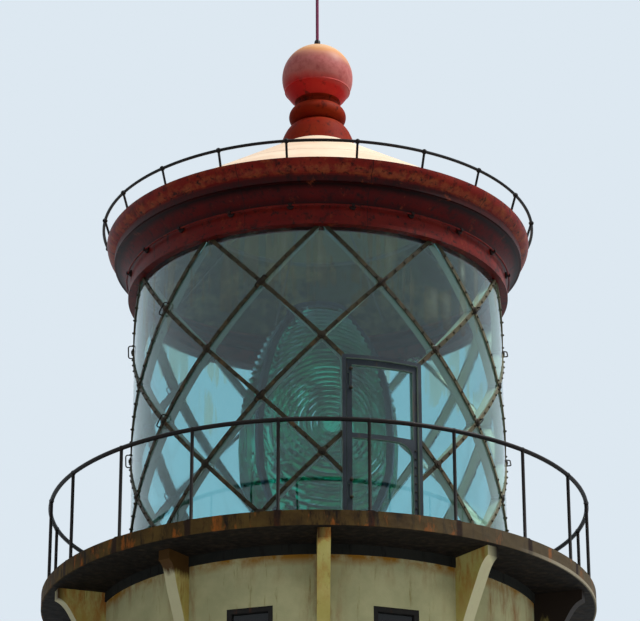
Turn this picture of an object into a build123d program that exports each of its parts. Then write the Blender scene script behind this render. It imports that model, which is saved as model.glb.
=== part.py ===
from build123d import *
import math
import os

# The head of a lighthouse tower: the watch room, the gallery on its brackets, and the lantern
# room above with its diagonal glazing, conical roof, ball ventilator and turning lens.
# Millimetres, +Z up, base of the watch room at Z = 0 on the tower's axis.
# Azimuths are in degrees, 0 towards -Y and growing towards +X.

# Driving dimensions: plan of the tower
bay_count = 10
window_turn = 18.0
wall_radius = 2112.0
wall_thickness = 300.0
wall_segments = 5
storey_height = 2400.0
floor_thickness = 150.0

# Driving dimensions: windows of the watch room
window_width = 430.0
window_height = 700.0
window_head_drop = 692.0
window_frame_width = 45.0
window_frame_depth = 70.0
window_frame_setback = 15.0
window_glass = 8.0

# Driving dimensions: gallery
crown_height = 92.0
crown_projection = 14.0
deck_thickness = 139.0
deck_radius = 2642.0
bracket_thickness = 117.0
bracket_reach = 2572.0
bracket_foot_drop = 1320.0
bracket_curve_shares = [(0.66, 0.30), (0.42, 0.44)]
worn_bracket = 9
worn_bracket_reach = 2412.0
rail_height = 875.0
rail_inset = 59.0
rail_diameter = 42.0
rail_post_diameter = 32.0
rail_posts_per_bay = 2

# Driving dimensions: lantern glazing
lantern_radius = 1830.0
bar_depth = 112.0
bar_web = 24.0
bar_cap_width = 48.0
bar_cap_thickness = 12.0
node_boss_diameter = 84.0
sill_height = 100.0
sill_projection = 22.0
lattice_top = 3157.0
lattice_rows = 6
glass_thickness = 10.0
glass_gap = 6.0
upper_pane_rows = 3
handle_rows = [1, 3]
handle_length = 190.0
handle_reach = 62.0
handle_diameter = 16.0
handle_bend = 30.0

# Driving dimensions: door of the lantern
door_width_turn = 24.4
door_head_row = 2.335
door_frame_face = 35.0
door_frame_stand = 14.0
door_gap = 6.0
door_stop = 18.0
door_leaf_setback = 5.0
door_leaf_thickness = 45.0
door_stile_hinge = 50.0
door_stile_lock = 42.0
door_top_rail = 55.0
door_mid_rail = 1023.0
door_mid_rail_height = 45.0
door_foot_rail = 190.0
door_corner_radius = 160.0
door_glass = 8.0
door_slot_heights = [488.0, 1580.0]
door_slot_length = 120.0
door_slot_width = 20.0
door_slot_depth = 12.0

# Driving dimensions: cornice, measured above the deck
head_underside = 3116.0
head_flange = 40.0
cornice_lip_radius = 1890.0
cornice_lip_height = 38.0
fascia_radius = 1874.0
fascia_top = 3343.0
cove_radius = 2014.0
cove_arc_radius = 260.0
cove_top = 3494.0
bead_radius = 2034.0
bead_top = 3576.0
cornice_radius = 2112.0
ovolo_arc_radius = 140.0
cornice_top = 3705.0
cornice_shell = 34.0
rod_ring_radius = 1908.0
rod_ring_height = 3306.0
rod_diameter = 16.0

# Driving dimensions: roof
roof_eave_inset = 40.0
roof_apex_radius = 300.0
roof_apex_height = 4794.0
roof_plate = 10.0
ceiling_plate = 5.0
ceiling_ledge = 20.0
ceiling_vent_radius = 420.0
roof_rail_radius = 2150.0
roof_rail_height = 3860.0
roof_rail_diameter = 28.0
roof_post_diameter = 22.0
roof_post_inset = 17.0

# Driving dimensions: ventilator
neck_foot_radius = 400.0
neck_shoulder_radius = 338.0
neck_shoulder_height = 4974.0
neck_radius = 228.0
neck_waist_height = 5096.0
collar_radius = 291.0
collar_height = 5204.0
collar_rim_radius = 246.0
collar_top = 5284.0
neck_wall = 14.0
throat_radius = 210.0
throat_flare = 20.0
ball_radius = 363.0
ball_centre = 5645.0
ball_shell = 9.0
ball_seat_drop = 278.0
ball_seam_drop = 150.0
ball_seam_band = 14.0
ball_seam_proud = 5.0
rod_socket_radius = 31.0
rod_socket_height = 50.0
lightning_rod_diameter = 26.0
lightning_rod_length = 1000.0
lightning_rod_point = 120.0

# Driving dimensions: lens, heights measured above the deck
lens_turn = 9.0
lens_panel_count = 3
lens_radius = 772.0
lens_focal_height = 1550.0
lens_foot_radius = 430.0
lens_foot_height = 640.0
lens_top_radius = 317.0
lens_top_height = 2970.0
lens_low_shares = [(0.78, 0.24), (0.87, 0.39), (0.975, 0.63)]
lens_high_shares = [(0.973, 0.3), (0.907, 0.46), (0.8, 0.65), (0.66, 0.805)]
lens_wall = 62.0
lens_frame_bar = 46.0
lens_frame_proud = 8.0
lens_ring_thickness = 40.0
prism_ring_step = 120.0
prism_ring_width = 74.0
prism_ring_proud = 14.0
bullseye_radius = 90.0
turntable_radius = 560.0
turntable_thickness = 60.0
pedestal_radius = 240.0
pedestal_foot_radius = 420.0
pedestal_foot_thickness = 50.0
spindle_radius = 60.0
spindle_height = 45.0
running_gap = 0.3

# How far a cutting shape runs past what it cuts, and into a space cut before it
cut_margin = 50.0
cut_overlap = 1.0

# Worked out from the driving dimensions
deck_level = storey_height
bay_turn = 360.0 / bay_count
half_turn = bay_turn / 2
wall_inner = wall_radius - wall_thickness
deck_bottom = deck_level - deck_thickness
wall_top = deck_bottom - crown_height
row_pitch = math.radians(half_turn) * lantern_radius
lattice_inner = lantern_radius - bar_depth
sill_top = deck_level + sill_height
head_bottom = deck_level + head_underside
roof_eave_radius = cornice_radius - roof_eave_inset
roof_base = deck_level + cornice_top
turntable_top = deck_level + lens_foot_height - lens_ring_thickness
turntable_bottom = turntable_top - turntable_thickness
pedestal_top = turntable_bottom - running_gap

os.makedirs("parts", exist_ok=True)


def save(name, shape):
    """Write one sub-part under its name."""
    export_step(shape, os.path.join("parts", name + ".step"))


def at_azimuth(shape, azimuth):
    """Turn a shape that was made on the +X side to its azimuth."""
    return Rot(0, 0, azimuth - 90) * shape


def all_round(shape, count, first=0.0):
    """Copies of a +X side shape at even azimuths, as one group."""
    return Compound([at_azimuth(shape, first + 360.0 * i / count) for i in range(count)])


def disc_ring(inner, outer, low, high):
    """A flat ring, or a disc where the inner radius is 0."""
    plan = Circle(outer) - Circle(inner) if inner > 0 else Circle(outer)
    return Pos(0, 0, low) * extrude(plan, amount=high - low)


def turned(points, arc=360.0):
    """A closed outline of radius and height turned about the axis."""
    return revolve(Plane.XZ * make_face(Polyline(*points, close=True)), Axis.Z, arc)


def sector(inner, outer, low, high, start, end):
    """A block of a round wall between two azimuths."""
    block = turned([(inner, low), (outer, low), (outer, high), (inner, high)], end - start)
    return Rot(0, 0, start - 90) * block


def radial_block(width, low, high, inner, outer):
    """A straight block along +X, centred on Y = 0."""
    return Pos((inner + outer) / 2, 0, (low + high) / 2) * Box(outer - inner, width, high - low)


def bar_section(diameter):
    """The eight-sided section of a bar, flat to flat."""
    return Rot(0, 0, 22.5) * RegularPolygon(diameter / 2, 8, major_radius=False)


def tube_ring(radius, height, diameter):
    """An eight-sided bar bent to a ring."""
    return revolve(Plane.XZ * Pos(radius, height) * bar_section(diameter), Axis.Z, 360)


# Watch room
window_high = storey_height - window_head_drop
window_low = window_high - window_height


def wall_segment(start, end):
    """A length of the round wall with the openings of the windows that fall in it."""
    wall = sector(wall_inner, wall_radius, 0, wall_top, start, end)
    hole = radial_block(window_width, window_low, window_high, wall_inner - cut_margin,
                        wall_radius + cut_margin)
    for i in range(bay_count):
        azimuth = window_turn + bay_turn * i
        if start < azimuth < end:
            wall -= at_azimuth(hole, azimuth)
    return wall


def window_frame():
    """A plain frame that fills the opening, set back from the wall's face."""
    outer = wall_radius - window_frame_setback
    block = radial_block(window_width, window_low, window_high, outer - window_frame_depth, outer)
    light = radial_block(window_width - 2 * window_frame_width, window_low + window_frame_width,
                         window_high - window_frame_width, outer - 2 * window_frame_depth,
                         outer + cut_margin)
    return block - light


def window_pane():
    """The sheet that fills a frame's light, at the middle of its depth."""
    mid = wall_radius - window_frame_setback - window_frame_depth / 2
    return radial_block(window_width - 2 * window_frame_width, window_low + window_frame_width,
                        window_high - window_frame_width, mid - window_glass / 2, mid + window_glass / 2)


segment_turn = 360.0 / wall_segments
for i in range(wall_segments):
    save(f"watch_room_wall_{i + 1}", wall_segment(segment_turn * i, segment_turn * (i + 1)))
save("watch_room_floor", disc_ring(0, wall_inner, 0, floor_thickness))
save("window_frames", all_round(window_frame(), bay_count, window_turn))
save("window_panes", all_round(window_pane(), bay_count, window_turn))
crown_radius = wall_radius + crown_projection
save("wall_crown", disc_ring(wall_inner, crown_radius, wall_top, deck_bottom))

# Gallery
lantern_floor_radius = lattice_inner


def bracket(reach):
    """A cast bracket: a square nose under the deck's rim and a long curve down to the wall."""
    root = wall_radius - cut_margin
    foot = deck_level - bracket_foot_drop
    bends = [(wall_radius + across * (reach - wall_radius), deck_level - down * bracket_foot_drop)
             for across, down in bracket_curve_shares]
    curve = Spline((reach, wall_top), *bends, (wall_radius, foot), tangents=[(-1, -0.35), (0, -1)])
    sides = Polyline((wall_radius, foot), (root, foot), (root, deck_bottom), (reach, deck_bottom), (reach, wall_top))
    web = extrude(Plane.XZ * make_face([curve, *sides.edges()]), amount=bracket_thickness / 2, both=True)
    web -= disc_ring(0, wall_radius, 0, wall_top)
    return web - disc_ring(0, crown_radius, wall_top, deck_bottom)


rail_radius = deck_radius - rail_inset
rail_level = deck_level + rail_height


def rail_post():
    """A post from the deck up to the handrail."""
    post = Pos(rail_radius, 0, deck_level) * extrude(bar_section(rail_post_diameter), amount=rail_height)
    return post - tube_ring(rail_radius, rail_level, rail_diameter)


post_count = bay_count * rail_posts_per_bay
bracket_reaches = [worn_bracket_reach if i == worn_bracket else bracket_reach for i in range(bay_count)]
save("gallery_brackets", Compound([at_azimuth(bracket(reach), bay_turn * i)
                                   for i, reach in enumerate(bracket_reaches)]))
save("gallery_deck", disc_ring(lantern_floor_radius, deck_radius, deck_bottom, deck_level))
save("lantern_floor", disc_ring(0, lantern_floor_radius, deck_bottom, deck_level))
save("gallery_posts", all_round(rail_post(), post_count, 180.0 / post_count))
save("gallery_handrail", tube_ring(rail_radius, rail_level, rail_diameter))

# Lantern glazing
door_middle = half_turn
door_start = door_middle - door_width_turn / 2
door_end = door_middle + door_width_turn / 2
door_head = deck_level + lattice_top - door_head_row * row_pitch


def row_height(row):
    """Height of a row of lattice nodes, counted down from the head of the lantern."""
    return deck_level + lattice_top - row * row_pitch


def glazing_bar(start, end, low, rising):
    """A T-shaped bar along a helix of the glass, with its cap outside."""
    turn = end - start
    rise = row_pitch * turn / half_turn
    path = Helix(pitch=row_pitch * 360.0 / half_turn, height=rise, radius=lantern_radius,
                 lefthand=not rising)
    cap = bar_cap_width * math.sqrt(0.5)
    web = bar_web * math.sqrt(0.5)
    back = lantern_radius - bar_cap_thickness
    outline = [(lantern_radius, -cap), (lantern_radius, cap), (back, cap), (back, web),
               (lattice_inner, web), (lattice_inner, -web), (back, -web), (back, -cap)]
    section = Plane.XZ * make_face(Polyline(*outline, close=True))
    bar = sweep(section, path=path, is_frenet=True)
    first = start if rising else end
    return Pos(0, 0, low) * Rot(0, 0, first - 90) * bar


def node_boss(slack=0.0):
    """The round thickening where bars cross, or the space round it."""
    length = bar_depth - bar_cap_thickness / 2 + slack
    return Pos(lattice_inner + length / 2, 0, 0) * Rot(0, 90, 0) * Cylinder(
        node_boss_diameter / 2 + slack, length)


def lattice_bay():
    """The crossing bars of one bay, from a quarter bay before its middle to three quarters after."""
    quarter = half_turn / 2
    bars = []
    for row in range(0, lattice_rows, 2):
        bars.append(glazing_bar(-quarter, half_turn + quarter, row_height(row + 1.5), False))
    for row in range(0, lattice_rows + 2, 2):
        bars.append(glazing_bar(-quarter, half_turn + quarter, row_height(row + 0.5), True))
    zone = disc_ring(lattice_inner - cut_margin, lantern_radius + cut_margin, sill_top, head_bottom)
    bay = bars[0] & zone
    for bar in bars[1:]:
        bay = bay + (bar & zone)
    for row in range(1, lattice_rows):
        bay = bay + Pos(0, 0, row_height(row)) * at_azimuth(node_boss(), half_turn * (row % 2))
    return bay


def door_envelope():
    """The space that the door's frame fills in the lantern wall."""
    return sector(lattice_inner - cut_margin, lantern_radius + cut_margin, deck_level, door_head,
                  door_start, door_end)


bay = lattice_bay()
for i in range(bay_count):
    turned_bay = Rot(0, 0, bay_turn * i) * bay
    if i in (0, 1):
        turned_bay = turned_bay - door_envelope()
    save(f"lantern_lattice_{i + 1}", turned_bay)

glass_outer = lantern_radius - bar_cap_thickness
glass_inner = glass_outer - glass_thickness


def diamond_pane():
    """A curved pane that fills one diamond of the lattice, behind the caps of its bars."""
    half_width = (glass_inner + glass_outer) / 2 * math.sin(math.radians(half_turn))
    slack = (bar_web / 2 + glass_gap) * math.sqrt(2)
    outline = Polyline((half_width - slack, 0), (0, row_pitch - slack), (slack - half_width, 0),
                       (0, slack - row_pitch), close=True)
    prism = extrude(Plane.YZ * make_face(outline), amount=lantern_radius)
    sheet = prism & disc_ring(glass_inner, glass_outer, -row_pitch, row_pitch)
    boss = node_boss(glass_gap)
    for side in (-1, 1):
        sheet = sheet - Rot(0, 0, side * half_turn) * boss - Pos(0, 0, side * row_pitch) * boss
    return sheet


pane = diamond_pane()


def glazing_rows(first, last):
    """All the panes of some rows, cut at the sill, the head and the door."""
    zone = disc_ring(lattice_inner, lantern_radius, sill_top, head_bottom)
    panes = []
    for row in range(first, last + 1):
        start = half_turn * ((row + 1) % 2)
        for i in range(bay_count):
            piece = Pos(0, 0, row_height(row)) * at_azimuth(pane, start + bay_turn * i)
            piece = piece & zone
            if abs(start + bay_turn * i - door_middle) <= half_turn:
                piece = piece - door_envelope()
            panes.extend(piece.solids())
    return Compound(panes)


save("lantern_sill", disc_ring(lattice_inner, lantern_radius + sill_projection, deck_level, sill_top))
save("lantern_panes_upper", glazing_rows(0, upper_pane_rows))
save("lantern_panes_lower", glazing_rows(upper_pane_rows + 1, lattice_rows))


def grab_handle():
    """A bent bar along a rising strap, with a foot each side of the crossing."""
    half = (handle_length - handle_diameter) / 2
    foot = lantern_radius - cut_margin
    reach = lantern_radius + handle_reach - handle_diameter / 2
    path = FilletPolyline((foot, 0, -half), (reach, 0, -half), (reach, 0, half), (foot, 0, half),
                          radius=handle_bend)
    bar = sweep(Plane(origin=path @ 0, z_dir=path % 0) * bar_section(handle_diameter), path=path)
    return Rot(-45, 0, 0) * bar - disc_ring(0, lantern_radius, -handle_length, handle_length)


handle = grab_handle()
handles = []
for row in handle_rows:
    for i in range(bay_count):
        azimuth = bay_turn * i + half_turn * (row % 2)
        if row_height(row) > door_head + handle_length or not door_start < azimuth < door_end:
            handles.append(Pos(0, 0, row_height(row)) * at_azimuth(handle, azimuth))
save("grab_handles", Compound(handles))

# Door of the lantern
frame_outer = lantern_radius + door_frame_stand
frame_turn = math.degrees(door_frame_face / lantern_radius)
light_start = door_start + frame_turn
light_end = door_end - frame_turn
gap_turn = math.degrees(door_gap / lantern_radius)
leaf_start = light_start + gap_turn
leaf_end = light_end - gap_turn
leaf_low = sill_top + door_gap
leaf_high = door_head - door_frame_face - door_gap
leaf_outer = lantern_radius - door_leaf_setback
leaf_inner = leaf_outer - door_leaf_thickness
pane_left = leaf_outer * math.sin(math.radians(leaf_start - door_middle)) + door_stile_hinge
pane_right = leaf_outer * math.sin(math.radians(leaf_end - door_middle)) - door_stile_lock
mid_rail_low = deck_level + door_mid_rail - door_mid_rail_height / 2


def door_frame():
    """The cast frame: two jambs and a head as deep as the lattice, with a stop behind the leaf."""
    frame = sector(lattice_inner, frame_outer, sill_top, door_head, door_start, door_end)
    frame -= sector(leaf_inner, frame_outer + cut_margin, sill_top - cut_margin,
                    door_head - door_frame_face, light_start, light_end)
    stop_turn = math.degrees(door_stop / lantern_radius)
    return frame - sector(lattice_inner - cut_margin, leaf_inner + cut_overlap, sill_top - cut_margin,
                          door_head - door_frame_face - door_stop,
                          light_start + stop_turn, light_end - stop_turn)


def door_light(low, high, corner):
    """A glazed opening as a prism square to the door's middle, with its upper lock side corner rounded."""
    outline = Pos((pane_left + pane_right) / 2, (low + high) / 2) * Rectangle(pane_right - pane_left, high - low)
    if corner > 0:
        outline = outline - Pos(pane_right - corner / 2, high - corner / 2) * Rectangle(corner, corner)
        outline = outline + Pos(pane_right - corner, high - corner) * Circle(corner)
    return at_azimuth(extrude(Plane.YZ * outline, amount=lantern_radius + cut_margin), door_middle)


door_lights = [door_light(mid_rail_low + door_mid_rail_height, leaf_high - door_top_rail, 0),
               door_light(leaf_low + door_foot_rail, mid_rail_low, door_corner_radius)]


def door_leaf():
    """The leaf with its stiles and three rails, and the recesses of its hinges in the hung stile."""
    leaf = sector(leaf_inner, leaf_outer, leaf_low, leaf_high, leaf_start, leaf_end)
    for light in door_lights:
        leaf -= light
    slot_azimuth = leaf_start + math.degrees(door_slot_width / leaf_outer)
    for height in door_slot_heights:
        middle = deck_level + height
        leaf -= at_azimuth(radial_block(door_slot_width, middle - door_slot_length / 2, middle + door_slot_length / 2,
                                        leaf_outer - door_slot_depth, leaf_outer + cut_margin), slot_azimuth)
    return leaf


def door_panes():
    """The sheets in the leaf's two openings."""
    middle = (leaf_inner + leaf_outer) / 2
    sheet = sector(middle - door_glass / 2, middle + door_glass / 2, leaf_low, leaf_high, leaf_start, leaf_end)
    return Compound([solid for light in door_lights for solid in (sheet & light).solids()])


save("door_frame", door_frame())
save("door_leaf", door_leaf())
save("door_panes", door_panes())

# Cornice
ledge_radius = bead_radius - cornice_shell


def cornice():
    """The moulded head of the lantern as a hollow casting, with its flange over the bars."""
    lip_top = head_bottom + cornice_lip_height
    fascia_level = deck_level + fascia_top
    cove_level = deck_level + cove_top
    bead_level = deck_level + bead_top
    rim_inner = cornice_radius - 2 * cornice_shell
    below = Polyline((lattice_inner, head_bottom), (cornice_lip_radius, head_bottom), (cornice_lip_radius, lip_top),
                     (fascia_radius, lip_top), (fascia_radius, fascia_level))
    cove = RadiusArc((fascia_radius, fascia_level), (cove_radius, cove_level), cove_arc_radius)
    bead = Polyline((cove_radius, cove_level), (bead_radius, cove_level), (bead_radius, bead_level))
    ovolo = RadiusArc((bead_radius, bead_level), (cornice_radius, roof_base), -ovolo_arc_radius)
    inner = Polyline((cornice_radius, roof_base), (rim_inner, roof_base), (ledge_radius, bead_level),
                     (ledge_radius - ceiling_ledge, bead_level),
                     (cove_radius - cornice_shell - ceiling_ledge, cove_level),
                     (fascia_radius - cornice_shell, fascia_level),
                     (fascia_radius - cornice_shell, head_bottom + head_flange),
                     (lattice_inner, head_bottom + head_flange), (lattice_inner, head_bottom))
    outline = [*below.edges(), cove, *bead.edges(), ovolo, *inner.edges()]
    return revolve(Plane.XZ * make_face(outline), Axis.Z, 360)


def rod_stud():
    """A stud that holds the rod ring off the fascia."""
    section = Plane.YZ * bar_section(rod_diameter)
    stud = Pos(fascia_radius - rod_diameter, 0, deck_level + rod_ring_height) * extrude(
        section, amount=rod_ring_radius + rod_diameter - fascia_radius)
    return stud - disc_ring(0, fascia_radius, deck_level, deck_level + cornice_top)


rod = tube_ring(rod_ring_radius, deck_level + rod_ring_height, rod_diameter)
studs = all_round(rod_stud(), post_count, 180.0 / post_count)
save("lantern_cornice", cornice())
save("cornice_rod", rod.fuse(*studs.solids()))

# Roof
roof_slope = (roof_apex_height - cornice_top) / (roof_eave_radius - neck_foot_radius)


def cone_plate(radius, base, top_radius, thickness):
    """A conical sheet of the roof's slope, flat at its foot and cut square at its top."""
    drop = thickness * math.hypot(1, roof_slope)
    run = drop / roof_slope
    top = base + (radius - top_radius) * roof_slope
    return turned([(radius, base), (top_radius, top), (top_radius, top - drop), (radius - run, base)])


def roof_post():
    """A short stanchion that leans out from the cornice's top edge to the roof rail."""
    foot = (cornice_radius - roof_post_inset, 0, roof_base - roof_post_diameter)
    head = (roof_rail_radius, 0, deck_level + roof_rail_height)
    path = Line(foot, head)
    post = sweep(Plane(origin=path @ 0, z_dir=path % 0) * bar_section(roof_post_diameter), path=path)
    return post & disc_ring(0, roof_rail_radius + cut_margin, roof_base, head[2] + cut_margin)


roof = cone_plate(roof_eave_radius, roof_base, roof_apex_radius, roof_plate)
ceiling = cone_plate(ledge_radius, deck_level + bead_top, ceiling_vent_radius, ceiling_plate)
save("roof_cone", roof)
save("ceiling_lining", ceiling)
roof_ring = tube_ring(roof_rail_radius, deck_level + roof_rail_height, roof_rail_diameter)
save("roof_rail", roof_ring.fuse(*all_round(roof_post(), post_count, 180.0 / post_count).solids()))

# Ventilator
neck_foot = deck_level + roof_apex_height
throat_top = deck_level + ball_centre - ball_seat_drop
ball_opening = math.sqrt(ball_radius ** 2 - ball_seat_drop ** 2)


def ventilator_neck():
    """The bell of the neck, bedded on the roof's slope, its round collar and the throat that bears the ball."""
    foot_inner = roof_apex_radius
    foot_rise = (neck_foot_radius - foot_inner) * roof_slope
    waist = deck_level + neck_waist_height
    rim = deck_level + collar_top
    bell = Spline((neck_foot_radius, neck_foot), (neck_shoulder_radius, deck_level + neck_shoulder_height),
                  (neck_radius, waist), tangents=[(-0.35, 1), (-1, 0.45)])
    collar = ThreePointArc((neck_radius, waist), (collar_radius, deck_level + collar_height),
                           (collar_rim_radius, rim))
    inner = Polyline((collar_rim_radius, rim), (throat_radius, rim), (throat_radius, throat_top - throat_flare),
                     (ball_opening, throat_top), (throat_radius - neck_wall, throat_top),
                     (throat_radius - neck_wall, rim), (neck_radius - neck_wall, waist),
                     (neck_radius - neck_wall, neck_foot + 3 * foot_rise),
                     (foot_inner, neck_foot + foot_rise), (neck_foot_radius, neck_foot))
    return revolve(Plane.XZ * make_face([bell, collar, *inner.edges()]), Axis.Z, 360)


def ventilator_ball():
    """The hollow ball with its seam band, cut flat where it bears on the throat."""
    centre = deck_level + ball_centre
    ball = Pos(0, 0, centre) * (Sphere(ball_radius) - Sphere(ball_radius - ball_shell))
    ball = ball & disc_ring(0, ball_radius + cut_margin, throat_top, centre + ball_radius + cut_margin)
    seam_level = centre - ball_seam_drop
    seam_radius = math.sqrt(ball_radius ** 2 - ball_seam_drop ** 2)
    seam = disc_ring(seam_radius - ball_shell, seam_radius + ball_seam_proud,
                     seam_level - ball_seam_band / 2, seam_level + ball_seam_band / 2)
    return ball.fuse(seam)


def lightning_rod():
    """A pointed rod in its socket, which is bedded on the ball's crown."""
    crown = deck_level + ball_centre + ball_radius
    foot = crown - rod_socket_radius
    socket_top = crown + rod_socket_height
    radius = lightning_rod_diameter / 2
    tip = socket_top + lightning_rod_length
    rod = turned([(0, foot), (rod_socket_radius, foot), (rod_socket_radius, socket_top), (radius, socket_top),
                  (radius, tip - lightning_rod_point), (0, tip)])
    return rod - Pos(0, 0, deck_level + ball_centre) * Sphere(ball_radius)


save("ventilator_neck", ventilator_neck())
save("ventilator_ball", ventilator_ball())
save("lightning_rod", lightning_rod())

# Lens and its pedestal
def lens_pedestal():
    """The fixed column with its foot, its head and the spindle that centres the turntable."""
    head = pedestal_top - pedestal_foot_thickness
    return turned([(0, deck_level), (pedestal_foot_radius, deck_level),
                   (pedestal_foot_radius, deck_level + pedestal_foot_thickness),
                   (pedestal_radius, deck_level + 2 * pedestal_foot_thickness),
                   (pedestal_radius, head - pedestal_foot_thickness), (pedestal_foot_radius, head),
                   (pedestal_foot_radius, pedestal_top), (spindle_radius, pedestal_top),
                   (spindle_radius, pedestal_top + spindle_height), (0, pedestal_top + spindle_height)])


def lens_turntable():
    """The turning plate with the bore for the spindle."""
    plate = disc_ring(0, turntable_radius, turntable_bottom, turntable_top)
    return plate - disc_ring(0, spindle_radius + running_gap, turntable_bottom - cut_margin,
                             pedestal_top + spindle_height + running_gap)


def lens_curve(shift):
    """The beehive outline of the glass, moved in or out from the axis by a shift."""
    foot = deck_level + lens_foot_height
    focal = deck_level + lens_focal_height
    top = deck_level + lens_top_height
    shape = [(lens_foot_radius, foot)]
    shape += [(share * lens_radius, foot + rise * (focal - foot)) for share, rise in lens_low_shares]
    shape.append((lens_radius, focal))
    shape += [(share * lens_radius, focal + rise * (top - focal)) for share, rise in lens_high_shares]
    shape.append((lens_top_radius, top))
    return Polyline(*[(radius + shift, height) for radius, height in shape])


def lens_shell(outward, inward, start, end):
    """A sector of the lens's wall between two azimuths."""
    outer = lens_curve(outward)
    inner = lens_curve(-inward)
    face = make_face([outer, inner, Line(outer @ 0, inner @ 0), Line(outer @ 1, inner @ 1)])
    return Rot(0, 0, start - 90) * revolve(Plane.XZ * face, Axis.Z, end - start)


panel_turn = 360.0 / lens_panel_count
bar_turn = math.degrees(lens_frame_bar / lens_radius)


def lens_uprights():
    """The gunmetal bars between the panels, which follow the glass from foot to head."""
    middles = [lens_turn + panel_turn * (i + 0.5) for i in range(lens_panel_count)]
    return Compound([lens_shell(lens_frame_proud, lens_wall, middle - bar_turn / 2, middle + bar_turn / 2)
                     for middle in middles])


def lens_panel():
    """The glass wall of a panel, made on the +X side."""
    half = (panel_turn - bar_turn) / 2
    return lens_shell(0, lens_wall, 90 - half, 90 + half)


def lens_prisms():
    """The bull's-eye and the rings of prisms round it, proud of the glass wall."""
    half = (panel_turn - bar_turn) / 2
    proud = lens_shell(prism_ring_proud, 0, 90 - half, 90 + half)
    focal = deck_level + lens_focal_height
    rings = [Circle(bullseye_radius)]
    reach = bullseye_radius + prism_ring_step
    while reach < lens_top_height - lens_focal_height:
        rings.append(Circle(reach) - Circle(reach - prism_ring_width))
        reach += prism_ring_step
    prisms = []
    for ring in rings:
        tube = Pos(0, 0, focal) * extrude(Plane.YZ * ring, amount=2 * lens_radius)
        prisms.extend((proud & tube).solids())
    return Compound(prisms)


lens_foot = deck_level + lens_foot_height
lens_head = deck_level + lens_top_height
save("lens_pedestal", lens_pedestal())
save("lens_turntable", lens_turntable())
save("lens_uprights", lens_uprights())
save("lens_foot_ring", disc_ring(lens_foot_radius - lens_wall, turntable_radius,
                                 lens_foot - lens_ring_thickness, lens_foot))
save("lens_head_ring", disc_ring(lens_top_radius - lens_wall, lens_top_radius,
                                 lens_head, lens_head + lens_ring_thickness))
panel = lens_panel()
prisms = lens_prisms()
for i in range(lens_panel_count):
    save(f"lens_panel_{i + 1}", at_azimuth(panel, lens_turn + panel_turn * i))
    save(f"lens_prisms_{i + 1}", at_azimuth(prisms, lens_turn + panel_turn * i))
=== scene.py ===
import math

import bpy
import numpy as np
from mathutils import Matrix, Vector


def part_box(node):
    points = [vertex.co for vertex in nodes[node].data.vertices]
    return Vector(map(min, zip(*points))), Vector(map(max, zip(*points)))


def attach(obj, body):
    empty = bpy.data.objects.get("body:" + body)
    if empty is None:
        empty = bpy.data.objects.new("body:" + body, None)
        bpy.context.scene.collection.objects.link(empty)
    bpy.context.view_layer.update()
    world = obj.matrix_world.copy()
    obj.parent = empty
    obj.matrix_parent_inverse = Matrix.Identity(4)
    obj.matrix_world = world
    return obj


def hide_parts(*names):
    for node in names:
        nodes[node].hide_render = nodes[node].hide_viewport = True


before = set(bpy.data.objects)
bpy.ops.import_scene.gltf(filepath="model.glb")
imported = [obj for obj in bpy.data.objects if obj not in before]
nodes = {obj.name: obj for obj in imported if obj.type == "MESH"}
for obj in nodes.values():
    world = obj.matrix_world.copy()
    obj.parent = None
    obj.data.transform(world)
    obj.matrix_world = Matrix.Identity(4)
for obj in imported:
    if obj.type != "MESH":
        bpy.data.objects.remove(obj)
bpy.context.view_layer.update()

# Camera
# The photo was taken from far below the lantern with a long lens, a degree to the left of a bay's middle.
# The distance, drop and pitch are those at which the lattice crossings fall where the photo has them.
deck_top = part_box("gallery_deck")[1].z
eye_distance = 27.29
eye_drop = 8.816
eye_turn = math.radians(-1.10)
eye_pitch = math.radians(23.49)
aim_turn = math.radians(-0.042)
eye_roll = math.radians(-0.16)
camera_data = bpy.data.cameras.new("camera")
camera_data.sensor_width = 36.0
camera_data.lens = 168.05
camera = bpy.data.objects.new("camera", camera_data)
camera.location = (eye_distance * math.sin(eye_turn), -eye_distance * math.cos(eye_turn), deck_top - eye_drop)
camera.rotation_euler = (math.pi / 2 + eye_pitch, 0.0, eye_turn + aim_turn)
camera.rotation_euler.rotate_axis("Z", eye_roll)
bpy.context.scene.collection.objects.link(camera)
bpy.context.scene.camera = camera
bpy.context.scene.view_settings.view_transform = "Standard"


# Light
# Soft studio light: a pale world, brightest overhead and to the right, a high key from the right and a weak
# fill from the left. The camera, glass and gloss see the plain background instead, and a ray that has gone
# through more than the four faces of two panes finds it dark below the horizon, as in a lens on a tower.
def linear(code):
    """The linear colour of an sRGB hex value: each channel through the sRGB curve."""
    srgb = np.array([int(code[i:i + 2], 16) for i in (1, 3, 5)]) / 255
    rgb = np.where(srgb <= 0.04045, srgb / 12.92, ((srgb + 0.055) / 1.055) ** 2.4)
    return (*rgb.tolist(), 1.0)


def add(tree, kind, settings=None, links=None):
    """Add a node, set its properties, sockets and ramp stops, and link its inputs, each to a socket or to the
    first output of a node."""
    node = tree.nodes.new("ShaderNode" + kind)
    for key, value in (settings or {}).items():
        if key == "stops":
            ramp = node.color_ramp.elements
            while len(ramp) < len(value):
                ramp.new(1.0)
            for stop, (position, colour) in zip(ramp, value):
                stop.position = position
                stop.color = linear(colour)
        elif isinstance(key, str) and hasattr(node, key):
            setattr(node, key, value)
        else:
            node.inputs[key].default_value = value
    for key, source in (links or {}).items():
        tree.links.new(source.outputs[0] if isinstance(source, bpy.types.Node) else source, node.inputs[key])
    return node


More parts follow.
